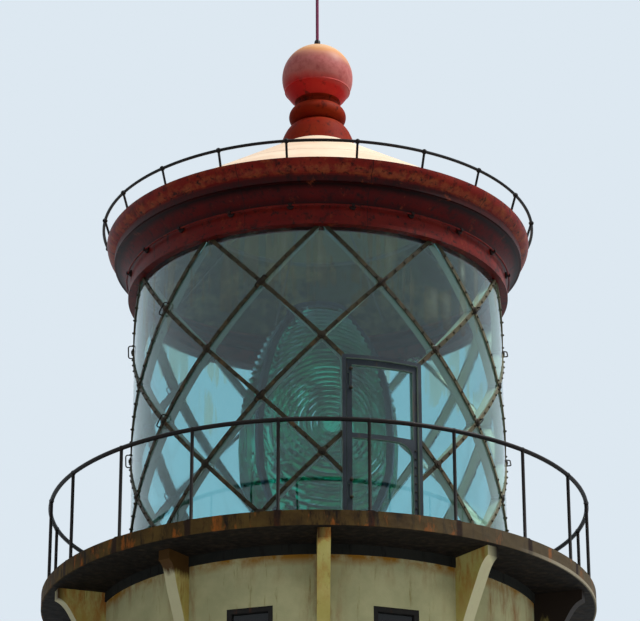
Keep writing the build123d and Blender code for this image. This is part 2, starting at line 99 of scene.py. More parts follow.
background_colour = linear("#DDE8F1")
world = bpy.data.worlds.new("studio")
world.use_nodes = True
bpy.context.scene.world = world
tree = world.node_tree
tree.nodes.clear()
rays = add(tree, "LightPath")
seen = rays.outputs["Is Camera Ray"]
for kind in ("Is Transmission Ray", "Is Glossy Ray"):
    seen = add(tree, "Math", {"operation": "MAXIMUM"}, {0: seen, 1: rays.outputs[kind]})
ways = add(tree, "SeparateXYZ", {}, {0: add(tree, "TexCoord").outputs["Generated"]})
overhead = add(tree, "MapRange", {"From Min": -0.10, "From Max": 0.85, "To Min": 0.13, "To Max": 0.66},
               {"Value": ways.outputs["Z"]})
rightward = add(tree, "MapRange", {"From Min": -0.6, "From Max": 0.6, "To Min": 0.50, "To Max": 1.65},
                {"Value": ways.outputs["X"]})
strength = add(tree, "Math", {"operation": "MULTIPLY"}, {0: overhead, 1: rightward})
ambient = add(tree, "Background", {"Color": linear("#F4F7FA")}, {"Strength": strength})
horizon = add(tree, "MapRange", {"From Min": -0.10, "From Max": 0.12, "To Min": 0.06},
              {"Value": ways.outputs["Z"]})
two_panes = 4
straight = add(tree, "Math", {"operation": "LESS_THAN", 1: two_panes + 0.5},
               {0: rays.outputs["Transmission Depth"]})
horizon = add(tree, "Math", {"operation": "MAXIMUM"}, {0: horizon, 1: straight})
backdrop = add(tree, "Background", {"Color": background_colour}, {"Strength": horizon})
mixed = add(tree, "MixShader", {}, {0: seen, 1: ambient, 2: backdrop})
add(tree, "OutputWorld", {}, {"Surface": mixed})

for name, power, spread, turn, height in (("key", 3.4, 9.0, 82.0, 54.0), ("fill", 0.45, 12.0, -28.0, 64.0)):
    lamp = bpy.data.lights.new(name, "SUN")
    lamp.energy = power
    lamp.angle = math.radians(spread)
    sun = bpy.data.objects.new(name, lamp)
    sun.rotation_euler = (math.radians(90.0 - height), 0.0, math.radians(turn))
    bpy.context.scene.collection.objects.link(sun)


# Floor
# A pale level floor at the foot of the part. The photo's eye is below it, so from underneath the camera
# looks through it, and from above it takes the part's shadow.
def grid(rows, columns, close_rows=False, close_columns=False):
    """The quads of a grid of points, closed on itself along the rows or the columns where asked."""
    row = np.arange(rows if close_rows else rows - 1)[:, None]
    column = np.arange(columns if close_columns else columns - 1)[None, :]
    next_row = (row + 1) % rows
    next_column = (column + 1) % columns
    corners = (row * columns + column, row * columns + next_column,
               next_row * columns + next_column, next_row * columns + column)
    return np.stack(np.broadcast_arrays(*corners), -1).reshape(-1, 4)


def lathe(profile, segments, closed=False):
    """Radius and height points turned about Z: a closed outline, or an open one from pole to pole."""
    profile = np.asarray(profile, float)
    turn = 2 * np.pi * np.arange(segments) / segments
    body = profile if closed else profile[1:-1]
    radius = body[:, :1]
    points = np.stack([radius * np.sin(turn), -radius * np.cos(turn),
                       np.broadcast_to(body[:, 1:], (len(body), segments))], -1).reshape(-1, 3)
    quads = grid(len(body), segments, closed, True)
    if closed:
        return points, [quads]
    poles = np.array([[0, 0, profile[0, 1]], [0, 0, profile[-1, 1]]])
    first = np.arange(segments)
    second = (first + 1) % segments
    last_row = (len(body) - 1) * segments
    low = np.stack([np.full(segments, len(points)), second, first], -1)
    high = np.stack([np.full(segments, len(points) + 1), last_row + first, last_row + second], -1)
    return np.vstack([points, poles]), [quads, low, high]


def build(name, points, faces, material, outward=True, sharp=35.0):
    """A mesh object from arrays: points, and a list of equal-sided faces. A closed piece is turned outwards,
    by the sign of its volume, and edges sharper than an angle stay sharp."""
    if outward:
        fans = [points[rows[:, [0, i, i + 1]]] for rows in faces for i in range(1, rows.shape[1] - 1)]
        corners = np.concatenate(fans)
        volume = np.einsum("ij,ij->i", corners[:, 0], np.cross(corners[:, 1], corners[:, 2])).sum()
        if volume < 0:
            faces = [rows[:, ::-1] for rows in faces]
    mesh = bpy.data.meshes.new(name)
    sizes = np.concatenate([np.full(len(rows), rows.shape[1]) for rows in faces])
    corners = np.concatenate([rows.ravel() for rows in faces])
    mesh.vertices.add(len(points))
    mesh.vertices.foreach_set("co", np.ascontiguousarray(points, np.float32).ravel())
    mesh.loops.add(len(corners))
    mesh.loops.foreach_set("vertex_index", corners.astype(np.int32))
    mesh.polygons.add(len(sizes))
    mesh.polygons.foreach_set("loop_start", (np.cumsum(sizes) - sizes).astype(np.int32))
    mesh.polygons.foreach_set("use_smooth", np.ones(len(sizes), bool))
    mesh.update(calc_edges=True)
    mesh.set_sharp_from_angle(angle=math.radians(sharp))
    mesh.materials.append(material)
    piece = bpy.data.objects.new(name, mesh)
    bpy.context.scene.collection.objects.link(piece)
    return piece


def new_material(name):
    """A material with that name, its node tree and its principled shader."""
    material = bpy.data.materials.new(name)
    material.use_nodes = True
    return material, material.node_tree, material.node_tree.nodes["Principled BSDF"]


floor_radius = 9.0
floor_material, tree, shader = new_material("floor_matte")
shader.inputs["Base Color"].default_value = linear("#BDC3C7")
shader.inputs["Roughness"].default_value = 0.9
rays = add(tree, "LightPath")
below = add(tree, "Math", {"operation": "MULTIPLY"},
            {0: add(tree, "NewGeometry").outputs["Backfacing"], 1: rays.outputs["Is Camera Ray"]})
mixed = add(tree, "MixShader", {}, {0: below, 1: shader, 2: add(tree, "BsdfTransparent")})
tree.links.new(mixed.outputs[0], tree.nodes["Material Output"].inputs["Surface"])
rim_turn = 2 * np.pi * np.arange(96) / 96
rim = floor_radius * np.stack([np.cos(rim_turn), np.sin(rim_turn), 0 * rim_turn], -1)
floor = build("floor", rim, [np.arange(96)[None, :]], floor_material, outward=False)


# Watch room wall
# A round masonry wall under a coat of cream lime stucco, painted many times. Rust washes down it from the
# ironwork above, most of all beside the brackets, and a matt, nearly black band runs round the wall's top.
def per_metre(size_mm):
    """The texture scale at which a pattern's features have that size in millimetres."""
    return 1000.0 / size_mm


def mottled(tree, place, size_mm, edge=(0.0, 1.0), span=(0.0, 1.0), detail=2.0, roughness=0.5, stretch=1.0):
    """A mask of uneven patches: a noise of that feature size, drawn out along Z by a stretch below 1. It goes
    from one end of the span to the other while the noise passes the edge's two values."""
    drawn = add(tree, "Mapping", {"Scale": (1.0, 1.0, stretch)}, {"Vector": place})
    noise = add(tree, "TexNoise", {"Scale": per_metre(size_mm), "Detail": detail, "Roughness": roughness},
                {"Vector": drawn})
    limits = {"From Min": edge[0], "From Max": edge[1], "To Min": span[0], "To Max": span[1]}
    return add(tree, "MapRange", limits, {"Value": noise.outputs["Fac"]}).outputs[0]


def coat(tree, *layers):
    """Lay colours over a material's own, one after another, each a hex value or a socket. What shows is the
    colour below times one minus the layer's mask, plus the layer's colour times the mask."""
    base = tree.nodes["Principled BSDF"].inputs["Base Color"]
    for mask, colour in layers:
        mixed = add(tree, "Mix", {"data_type": "RGBA"}, {0: mask, 6: base.links[0].from_socket})
        if isinstance(colour, str):
            mixed.inputs[7].default_value = linear(colour)
        else:
            tree.links.new(colour, mixed.inputs[7])
        tree.links.new(mixed.outputs[2], base)


def weathered(name, paint, faded, stain, threshold, streak_mm=60, streak_stretch=0.12, roughness=0.6,
              grain_mm=9, relief_mm=0.8, patch_mm=420):
    """Old paint on object coordinates: broad faded patches, stains drawn out along Z where a noise passes a
    threshold, and a fine uneven skin. Returns the material, its node tree and the place on the object."""
    material, tree, shader = new_material(name)
    shader.inputs["Specular IOR Level"].default_value = 0.12
    place = add(tree, "TexCoord").outputs["Object"]
    patch = mottled(tree, place, patch_mm, (0.38, 0.64), detail=6.0, roughness=0.62)
    mixed = add(tree, "Mix", {"data_type": "RGBA", 6: linear(paint), 7: linear(faded)}, {0: patch})
    tree.links.new(mixed.outputs[2], shader.inputs["Base Color"])
    streak = mottled(tree, place, streak_mm, (threshold, threshold + 0.12), detail=7.0, roughness=0.68,
                     stretch=streak_stretch)
    coat(tree, (streak, stain))
    grain = mottled(tree, place, grain_mm, detail=4.0)
    gloss = add(tree, "MapRange", {"To Min": roughness - 0.12, "To Max": roughness + 0.12}, {"Value": grain})
    bump = add(tree, "Bump", {"Strength": 0.6, "Distance": relief_mm / 1000}, {"Height": grain})
    tree.links.new(gloss.outputs[0], shader.inputs["Roughness"])
    tree.links.new(bump.outputs[0], shader.inputs["Normal"])
    return material, tree, place


def dress(material, *names):
    """Give some nodes of the frame their finish."""
    for name in names:
        mesh = nodes[name].data
        mesh.materials.clear()
        mesh.materials.append(material)


def off_division(tree, axes, count, shift=0.0):
    """The share of a spacing by which an azimuth lies off the nearest of a count of equal divisions: 0 on one
    and 0.5 midway between two. It is the azimuth in spacings, folded back at every half."""
    azimuth = add(tree, "Math", {"operation": "ARCTAN2"}, {0: axes.outputs["X"], 1: axes.outputs["Y"]})
    spacings = add(tree, "Math", {"operation": "MULTIPLY_ADD", 1: count / (2 * math.pi), 2: shift},
                   {0: azimuth})
    return add(tree, "Math", {"operation": "PINGPONG", 1: 0.5}, {0: spacings}).outputs[0]


bay_count = 10
wall_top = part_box("wall_crown")[0].z
# Limewashed stucco has no gloss, and its coarse grain breaks up the light that grazes it.
stucco, tree, place = weathered("lime_stucco", "#C0BA8C", "#AAA67C", "#8A7C48", 0.60, roughness=0.85,
                                grain_mm=14, relief_mm=2.0)
axes = add(tree, "SeparateXYZ", {}, {0: place})
near_bracket = add(tree, "MapRange", {"From Min": 0.17, "From Max": 0.05},
                   {"Value": off_division(tree, axes, bay_count)})
under_crown = add(tree, "MapRange", {"From Min": wall_top - 0.30, "From Max": wall_top},
                  {"Value": axes.outputs["Z"]})
lee_side = add(tree, "MapRange", {"From Min": 1.30, "From Max": 1.65}, {"Value": axes.outputs["X"]})
wet = near_bracket
for stained in (under_crown, lee_side):
    wet = add(tree, "Math", {"operation": "MAXIMUM"}, {0: wet, 1: stained})
wash = mottled(tree, place, 150, (0.50, 0.74), detail=8.0, roughness=0.7, stretch=0.22)
wash = add(tree, "Math", {"operation": "MULTIPLY"}, {0: wash, 1: wet})
rim_run = add(tree, "MapRange", {"From Min": wall_top - 0.11, "From Max": wall_top - 0.02},
              {"Value": axes.outputs["Z"]})
edge = mottled(tree, place, 330, (0.42, 0.58), detail=7.0, roughness=0.66)
edge = add(tree, "Math", {"operation": "MULTIPLY"}, {0: edge, 1: rim_run})
coat(tree, (wash, "#8A4A18"), (edge, "#9A6A22"))
dress(stucco, *[name for name in nodes if name.startswith("watch_room_wall")])

# The band is matt and nearly black. The floors are bare cement screed.
band, *_ = weathered("crown_band_black", "#1D1E1B", "#282722", "#120F0C", 0.55, roughness=0.8)
dress(band, "wall_crown")
screed, *_ = weathered("trowelled_screed", "#8A8579", "#9B968A", "#6A655A", 0.58, streak_stretch=1.0,
                       roughness=0.88, grain_mm=6)
dress(screed, "watch_room_floor", "lantern_floor")

# Windows of the watch room
# Small timber casements, nearly flush with the wall. Their old paint is nearly black and matt, and the glass
# is nearly black: painted shade for the unlit room behind it, under a dusty haze.
window_paint, *_ = weathered("window_paint", "#1B1917", "#262320", "#4A2A1C", 0.60)
# Dusty glass, coloured nearly black as painted shade of the dark room behind, shows a dull reflection and
# little else.
dark_glass, tree, shader = new_material("window_glass")
shader.inputs["Base Color"].default_value = linear("#191A19")
shader.inputs["Transmission Weight"].default_value = 0.2
shader.inputs["Specular IOR Level"].default_value = 0.2
shader.inputs["IOR"].default_value = 1.5
haze = mottled(tree, add(tree, "TexCoord").outputs["Object"], 160, span=(0.04, 0.22), detail=4.0)
tree.links.new(haze, shader.inputs["Roughness"])
dress(window_paint, "window_frames")
dress(dark_glass, "window_panes")

# Gallery brackets
# Hollow castings with a square nose under the deck's rim and a long curve down to the wall. Their cream
# paint has yellowed, the outward faces of the side brackets are paler with painted sky light, rust runs down
# from the deck, one top is brown all over, and another is near black with painted shade.
def from_axis(tree, place, measure):
    """The length or the direction of a place's offset from the tower's axis: X and Y without the height."""
    level = add(tree, "VectorMath", {"operation": "MULTIPLY", 1: (1.0, 1.0, 0.0)}, {0: place})
    measured = add(tree, "VectorMath", {"operation": measure}, {0: level})
    return measured.outputs["Value" if measure == "LENGTH" else "Vector"]


def faces_away(tree, place):
    """How squarely the surface faces away from the tower's axis: its normal's part along the outward way."""
    normal = tree.nodes["Texture Coordinate"].outputs["Normal"]
    outward = from_axis(tree, place, "NORMALIZE")
    return add(tree, "VectorMath", {"operation": "DOT_PRODUCT"}, {0: outward, 1: normal}).outputs["Value"]


# Enamel gone dull keeps a faint, uneven sheen.
bracket_paint, tree, place = weathered("bracket_enamel", "#BDB06A", "#AA9A50", "#86652A", 0.57,
                                       roughness=0.55, relief_mm=0.6)
axes = add(tree, "SeparateXYZ", {}, {0: place})
top_run = add(tree, "MapRange", {"From Min": wall_top - 0.55, "From Max": wall_top + 0.12},
              {"Value": axes.outputs["Z"]})
rust = mottled(tree, place, 110, detail=8.0, roughness=0.7, stretch=0.3)
rust_spots = add(tree, "MapRange", {"From Min": 0.44, "From Max": 0.62}, {"Value": rust})
rust_spots = add(tree, "Math", {"operation": "MULTIPLY"}, {0: rust_spots, 1: top_run})
# Painted sky light: the outward faces of the brackets off the middle turn a pale cream.
front = add(tree, "MapRange", {"From Min": 0.25, "From Max": 0.40, "To Max": 0.8},
            {"Value": faces_away(tree, place)})
aside = add(tree, "Math", {"operation": "ABSOLUTE"}, {0: axes.outputs["X"]})
aside = add(tree, "Math", {"operation": "GREATER_THAN", 1: 0.4}, {0: aside})
sky_lit_faces = add(tree, "Math", {"operation": "MULTIPLY"}, {0: front, 1: aside})
coat(tree, (rust_spots, "#A35A1E"), (sky_lit_faces, "#C4BE9C"))
# The bracket at -36 degrees turns brown over its top. The one at 72 degrees turns near black there, which is
# painted shade.
for stain_or_shade_azimuth, stain_or_shade_colour, reach_down in ((-36.0, "#4A3216", 0.20), (72.0, "#231A13", 0.60)):
    turn = math.radians(stain_or_shade_azimuth)
    outward = add(tree, "VectorMath", {"operation": "DOT_PRODUCT", 1: (math.sin(turn), -math.cos(turn), 0.0)},
                  {0: place})
    on_stained_or_shaded = add(tree, "MapRange", {"From Min": 2.05, "From Max": 2.11}, {"Value": outward.outputs["Value"]})
    brown_or_shade = add(tree, "MapRange", {"From Min": wall_top - reach_down, "From Max": wall_top + 0.03},
                {"Value": axes.outputs["Z"]})
    brown_or_shade = add(tree, "Math", {"operation": "ADD"}, {0: brown_or_shade, 1: rust})
    brown_or_shade = add(tree, "MapRange", {"From Min": 0.77, "From Max": 1.11}, {"Value": brown_or_shade})
    brown_or_shade = add(tree, "Math", {"operation": "MULTIPLY"}, {0: brown_or_shade, 1: on_stained_or_shaded})
    coat(tree, (brown_or_shade, stain_or_shade_colour))
dress(bracket_paint, "gallery_brackets")

# Gallery deck
# Iron plates on the brackets. The rim has lost most of its paint and runs with brown and orange rust, dark
# below each post. Its grey and its pale lower lip towards +X, where the sun falls, are painted sunlight, and
# within the rim the plates are near black with damp and painted shade.
deck_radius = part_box("gallery_deck")[1].x
deck_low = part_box("gallery_deck")[0].z
post_count = 2 * bay_count
# Rusted plate is matt and scaly: its flakes catch the light that grazes them.
deck_iron, tree, place = weathered("rusted_deck_iron", "#3B2A11", "#54401D", "#1C130A", 0.50, streak_mm=90,
                                   streak_stretch=0.25, roughness=0.75, relief_mm=1.2, patch_mm=260)
axes = add(tree, "SeparateXYZ", {}, {0: place})
orange = mottled(tree, place, 180, (0.55, 0.68), detail=8.0, roughness=0.72, stretch=0.35)
through_grey = add(tree, "Math", {"operation": "MULTIPLY", 1: 0.6}, {0: orange})
# Painted sunlight: the rim turns greyer towards +X, where the sun falls.
sunlit_grey_side = add(tree, "MapRange", {"From Min": 0.3, "From Max": 1.6, "To Max": 0.75},
                {"Value": axes.outputs["X"]})
below_post = add(tree, "MapRange", {"From Min": 0.455, "From Max": 0.475, "To Max": 0.85},
                 {"Value": off_division(tree, axes, post_count)})
# Painted sunlight: the lower lip turns pale on the same side.
pale_lip_sunlit = add(tree, "Math", {"operation": "LESS_THAN", 1: deck_low + 0.030}, {0: axes.outputs["Z"]})
lip_sun_side = add(tree, "MapRange", {"From Min": 1.75, "From Max": 2.15, "To Max": 0.8},
               {"Value": axes.outputs["X"]})
pale_lip_sunlit = add(tree, "Math", {"operation": "MULTIPLY"}, {0: pale_lip_sunlit, 1: lip_sun_side})
# Painted shade: within the rim, top and underside are near black, with damp.
inside = add(tree, "MapRange", {"From Min": deck_radius - 0.002, "From Max": deck_radius - 0.02},
             {"Value": from_axis(tree, place, "LENGTH")})
damp_and_shade = add(tree, "ValToRGB", {"stops": [(0.25, "#0A0806"), (0.5, "#15100C"), (0.75, "#2A2118")]},
           {"Fac": mottled(tree, place, 60, detail=8.0)})
coat(tree, (orange, "#94501C"), (sunlit_grey_side, "#4C4232"), (through_grey, "#94501C"),
     (below_post, "#1C0D0A"), (pale_lip_sunlit, "#8F8672"), (inside, damp_and_shade.outputs[0]))
flakes = add(tree, "TexVoronoi", {"Scale": per_metre(75)}, {"Vector": place})
rough = add(tree, "Bump", {"Strength": 0.7, "Distance": 0.006},
            {"Height": flakes.outputs["Distance"], "Normal": tree.nodes["Bump"].outputs[0]})
tree.links.new(rough.outputs[0], tree.nodes["Principled BSDF"].inputs["Normal"])
dress(deck_iron, "gallery_deck")


# Gallery handrail
# One round bar bent to a ring, carried on twenty round posts. At each post the bar goes through a ball
# fitting, and the post's foot is a small flange bolted to the deck.
def placed(points, faces, matrices, offsets):
    """Copies of a shape: every point through each matrix and then moved by its offset."""
    copies = np.einsum("kij,nj->kni", matrices, points) + offsets[:, None, :]
    steps = np.arange(len(offsets))[:, None, None] * len(points)
    return copies.reshape(-1, 3), [(rows[None] + steps).reshape(-1, rows.shape[1]) for rows in faces]


def upright(azimuths):
    """Turns about Z that bring a shape made on the -Y side to each azimuth, in degrees from -Y towards +X."""
    turn = np.radians(azimuths)
    zero = 0 * turn
    return np.stack([np.cos(turn), -np.sin(turn), zero, np.sin(turn), np.cos(turn), zero,
                     zero, zero, zero + 1], -1).reshape(-1, 3, 3)


def facing_out(azimuths):
    """Turns that bring a shape's own Z to point outwards at each azimuth, with its Y upwards."""
    turn = np.radians(azimuths)
    zero = 0 * turn
    return np.stack([np.cos(turn), zero, np.sin(turn), np.sin(turn), zero, -np.cos(turn),
                     zero, zero + 1, zero], -1).reshape(-1, 3, 3)


def set_round(shape, turned, azimuths, radius, heights):
    """Copies of a shape on the tower, each turned to its azimuth: X is the radius times the azimuth's sine, Y
    minus the radius times its cosine, and Z the height."""
    azimuths, heights = np.broadcast_arrays(azimuths, heights)
    turn = np.radians(azimuths)
    places = np.stack([radius * np.sin(turn), -radius * np.cos(turn), heights], -1)
    return placed(*shape, turned(azimuths), places)


def joined(*shapes):
    """Several shapes as one set of points and faces."""
    points, faces, count = [], [], 0
    for shape_points, shape_faces in shapes:
        points.append(shape_points)
        faces += [rows + count for rows in shape_faces]
        count += len(shape_points)
    return np.vstack(points), faces


def ring_bar(radius, height, thickness, sides=12, segments=180):
    """A round bar bent to a ring: a circle of that thickness turned about the axis."""
    turn = 2 * np.pi * np.arange(sides) / sides
    profile = np.stack([radius + thickness / 2 * np.cos(turn), height + thickness / 2 * np.sin(turn)], -1)
    return lathe(profile, segments, closed=True)


def ball(diameter, segments=14):
    """A round ball: half a circle turned about its own axis."""
    turn = np.linspace(-np.pi / 2, np.pi / 2, segments // 2 + 2)
    return lathe(diameter / 2 * np.stack([np.cos(turn), np.sin(turn)], -1), segments)


# Black oil paint over iron keeps a soft sheen on the round bars.
rail_iron, *_ = weathered("rail_black_paint", "#14100E", "#1E1714", "#3A2015", 0.60, streak_stretch=1.0,
                          streak_mm=45, roughness=0.48, grain_mm=7, relief_mm=0.5)
rail_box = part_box("gallery_handrail")
rail_bar = rail_box[1].z - rail_box[0].z
rail_radius = rail_box[1].x - rail_bar / 2
rail_level = (rail_box[0].z + rail_box[1].z) / 2
post_azimuths = (np.arange(post_count) + 0.5) * 360 / post_count
post_width = 0.032
fitting_width = 0.050
flange_width = 0.10
flange_height = 0.012
post_height = rail_level - deck_top
post_profile = [(0, 0), (flange_width / 2, 0), (flange_width / 2, flange_height),
                (post_width / 2 + 0.006, 0.02), (post_width / 2, 0.032), (post_width / 2, post_height),
                (0, post_height)]
posts = set_round(lathe(post_profile, 12), upright, post_azimuths, rail_radius, deck_top)
fittings = set_round(ball(fitting_width), upright, post_azimuths, rail_radius, rail_level)
handrail = build("gallery_handrail_bar", *ring_bar(rail_radius, rail_level, rail_bar), rail_iron)
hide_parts("gallery_handrail")
rail_posts = build("gallery_rail_posts", *joined(posts, fittings), rail_iron)
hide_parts("gallery_posts")
for piece in (handrail, rail_posts):
    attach(piece, "root")

# Lantern lattice
# Crossing gunmetal bars that carry the panes. A flat strap outside, dark with old paint, clamps the glass
# with a row of dome-headed screws, and the deep blade inside is a grey green. Blades and straps turn paler
# towards the right with painted sunlight.
strap_inset = 0.022
strap_depth = 0.012
strap_half = 0.019
blade_depth = 0.112
blade_half = 0.012
strap_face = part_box("lantern_sill")[1].x - strap_inset
strap_back = strap_face - strap_depth
blade_face = strap_face - blade_depth
# Brushed oil paint has a low sheen, the same on blades and straps.
lattice, tree, place = weathered("lattice_paint", "#6E7C6E", "#7E8874", "#57553F", 0.58, streak_mm=70,
                                 streak_stretch=1.0, roughness=0.5, relief_mm=0.5)
axes = add(tree, "SeparateXYZ", {}, {0: place})
# Painted sunlight: the blades turn paler towards +X.
sunlit_blades = add(tree, "MapRange", {"From Min": -0.4, "From Max": 1.5}, {"Value": axes.outputs["X"]})
outside = add(tree, "Math", {"operation": "GREATER_THAN", 1: strap_back - 0.001},
              {0: from_axis(tree, place, "LENGTH")})
strap = add(tree, "ValToRGB", {"stops": [(0.34, "#262217"), (0.52, "#3B3626"), (0.72, "#5F4A32")]},
            {"Fac": mottled(tree, place, 120, detail=7.0, roughness=0.7)})
# Painted sunlight: the straps turn paler towards +X too.
sunlit_straps = add(tree, "MapRange", {"From Min": 1.0, "From Max": 1.75, "To Max": 0.45},
           {"Value": axes.outputs["X"]})
strap = add(tree, "Mix", {"data_type": "RGBA", 7: linear("#8A8264")}, {0: sunlit_straps, 6: strap})
coat(tree, (sunlit_blades, "#A9A78C"), (outside, strap.outputs[2]))
dress(lattice, "lantern_sill")
half_turn = 180 / bay_count
row_pitch = math.radians(half_turn) * strap_face
lattice_top = deck_top + 3.157
row_count = 6
sill_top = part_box("lantern_sill")[1].z
head_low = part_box("lantern_cornice")[0].z
bar_outline = np.array([(-strap_half, strap_face), (strap_half, strap_face), (strap_half, strap_back),
                        (blade_half, strap_back), (blade_half, blade_face), (-blade_half, blade_face),
                        (-blade_half, strap_back), (-strap_half, strap_back)])
bar_step = 0.05
strap_corners = np.array([0, 1, 2, 3, 6, 7])
blade_corners = np.array([3, 4, 5, 6])
door_azimuths = (5.8, 30.2)
door_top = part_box("door_frame")[1].z
into_frame = 0.020


def lattice_bar(node_azimuth, lean, ends):
    """A bar at 45 degrees on the unrolled lantern wall, through a node of the top row. Each corner of its
    section runs from one end to the other, and an end is a level or the upright line of a door jamb."""
    node_x = math.radians(node_azimuth) * strap_face
    side = bar_outline[:, 0] * math.sqrt(2)
    cut = [np.full(len(side), value) if kind == "level" else lattice_top + lean * (value - node_x - side)
           for kind, value in ends]
    share = np.linspace(0, 1, max(2, int(abs(cut[1][0] - cut[0][0]) / bar_step)))[:, None]
    height = cut[0] + share * (cut[1] - cut[0])
    turn = (node_x + side + lean * (height - lattice_top)) / strap_face
    points = np.stack([bar_outline[:, 1] * np.sin(turn), -bar_outline[:, 1] * np.cos(turn), height], -1)
    last = (len(share) - 1) * len(side)
    caps = [np.stack([corners[::-1], corners + last]) for corners in (strap_corners, blade_corners)]
    return points.reshape(-1, 3), [grid(len(share), len(side), False, True), *caps]


def wrapped(azimuths):
    """The same azimuths from -180 up to 180 degrees: a half turn is added, and taken off the remainder."""
    return (azimuths + 180) % 360 - 180


def bar_runs(node_azimuth, lean):
    """The lengths of a bar from sill to head that the door leaves. It leans towards greater azimuths as it
    rises where lean is 1, so its height at an azimuth follows from the 45 degree line through its node."""
    near, far = door_azimuths if lean > 0 else door_azimuths[::-1]
    inset = into_frame if lean > 0 else -into_frame
    near_x, far_x = math.radians(near) * strap_face + inset, math.radians(far) * strap_face - inset
    node_x = math.radians(node_azimuth) * strap_face
    enters, leaves = (lattice_top + lean * (x - node_x) for x in (near_x, far_x))
    top_cut = door_top - into_frame
    if enters >= top_cut or leaves <= sill_top:
        return [(("level", sill_top), ("level", head_low))]
    runs = []
    if enters > sill_top:
        runs.append((("level", sill_top), ("jamb", near_x)))
    runs.append((("jamb", far_x) if leaves < top_cut else ("level", top_cut), ("level", head_low)))
    return runs


row, bay = (axis.ravel() for axis in np.meshgrid(np.arange(1, row_count), np.arange(bay_count),
                                                 indexing="ij"))
plate_azimuth = wrapped((row % 2) * half_turn + bay * 2 * half_turn)
plate_height = lattice_top - row * row_pitch
kept = ~((plate_azimuth > door_azimuths[0]) & (plate_azimuth < door_azimuths[1]) & (plate_height < door_top))
row, plate_azimuth, plate_height = row[kept], plate_azimuth[kept], plate_height[kept]
boss_radius = 0.034
plate_sink = -0.006
boss_profile = [(0, -blade_depth), (boss_radius, -blade_depth), (boss_radius, plate_sink), (0, plate_sink)]
bosses = set_round(lathe(boss_profile, 20), facing_out, plate_azimuth, strap_face, plate_height)
bars = [lattice_bar(azimuth, lean, ends) for lean in (-1, 1)
        for azimuth in wrapped(np.arange(bay_count) * 2 * half_turn) for ends in bar_runs(azimuth, lean)]
lattice_bars = build("lattice_bars", *joined(bosses, *bars), lattice, sharp=30.0)
lattice_names = [name for name in nodes if name.startswith("lantern_lattice")]
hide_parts(*lattice_names)
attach(lattice_bars, "root")


def screw_head(width, height, segments=8):
    """A low domed head standing on Z = 0, sunk a little so that it meets a curved face."""
    return lathe([(0, -0.003), (width / 2, -0.003), (width / 2, 0.45 * height), (0.32 * width, 0.85 * height),
                  (0, height)], segments)


screws_per_side = 6
start_row, step, bay, lean = (axis.ravel() for axis in np.meshgrid(
    np.arange(-1, row_count + 1), (np.arange(screws_per_side) + 0.5) / screws_per_side, np.arange(bay_count),
    (-1, 1), indexing="ij"))
screw_azimuth = wrapped((start_row % 2 + bay * 2 + lean * step) * half_turn)
screw_height = lattice_top - (start_row + step) * row_pitch
screw_room = 0.02
beside_door = 1.5
in_door = ((screw_azimuth > door_azimuths[0] - beside_door) & (screw_azimuth < door_azimuths[1] + beside_door)
           & (screw_height < door_top + screw_room))
shown = (screw_height > sill_top + screw_room) & (screw_height < head_low - screw_room) & ~in_door
screw_azimuth, screw_height = screw_azimuth[shown], screw_height[shown]
screws = set_round(screw_head(width=0.022, height=0.013), facing_out, screw_azimuth, strap_face, screw_height)
plate_width = 0.076
plate_profile = [(0, plate_sink), (plate_width / 2, plate_sink), (plate_width / 2, 0.004),
                 (plate_width / 2 - 0.006, 0.009), (0.02, 0.009), (0.018, 0.018), (0, 0.02)]
plates = set_round(lathe(plate_profile, 20), facing_out, plate_azimuth, strap_face, plate_height)
# Black oil paint gone dull, on the screws and the plates.
plate_paint, *_ = weathered("strap_paint", "#262218", "#33291C", "#5C3F2A", 0.58, streak_mm=40,
                            streak_stretch=1.0, roughness=0.5, relief_mm=0.5)
fastenings = build("lattice_screws", *joined(screws, plates), plate_paint)
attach(fastenings, "root")

# Grab handles
# Thin round bars bent to a bow, for whoever washes the panes. Each is riveted to the rising strap, a foot on
# either side of a crossing.
def bent_bar(path, thickness, sides=8):
    """A round bar along a path in its own X and Z: a circle square to the path at each of its points."""
    ahead = np.gradient(path, axis=0)
    ahead /= np.linalg.norm(ahead, axis=1)[:, None]
    turn = 2 * np.pi * np.arange(sides) / sides
    out = thickness / 2 * np.cos(turn)
    level = np.broadcast_to(thickness / 2 * np.sin(turn), (len(path), sides))
    points = np.stack([path[:, :1] - ahead[:, 1:] * out, level, path[:, 1:] + ahead[:, :1] * out], -1)
    first = np.arange(sides)
    caps = np.array([first[::-1], first + (len(path) - 1) * sides])
    return points.reshape(-1, 3), [grid(len(path), sides, False, True), caps]


handle_half = 0.066
handle_reach = 0.045
handle_bend = 0.022
foot_depth = 0.004
turn = np.linspace(0, np.pi / 2, 6)
rise = np.stack([handle_bend * (1 - np.cos(turn)) - handle_half,
                 handle_reach - handle_bend * (1 - np.sin(turn))], -1)
handle_path = np.vstack([[-handle_half, -foot_depth], rise, rise[::-1] * (-1, 1), [handle_half, -foot_depth]])
points, faces = bent_bar(handle_path, 0.013)
diagonal = math.sqrt(0.5)
points = points @ np.array([[diagonal, diagonal, 0], [-diagonal, diagonal, 0], [0, 0, 1]])
held = (row == 1) | (row == 3)
handles = set_round((points, faces), facing_out, plate_azimuth[held], strap_face, plate_height[held])
handle_bars = build("lattice_handles", *handles, rail_iron)
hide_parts("grab_handles")
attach(handle_bars, "root")

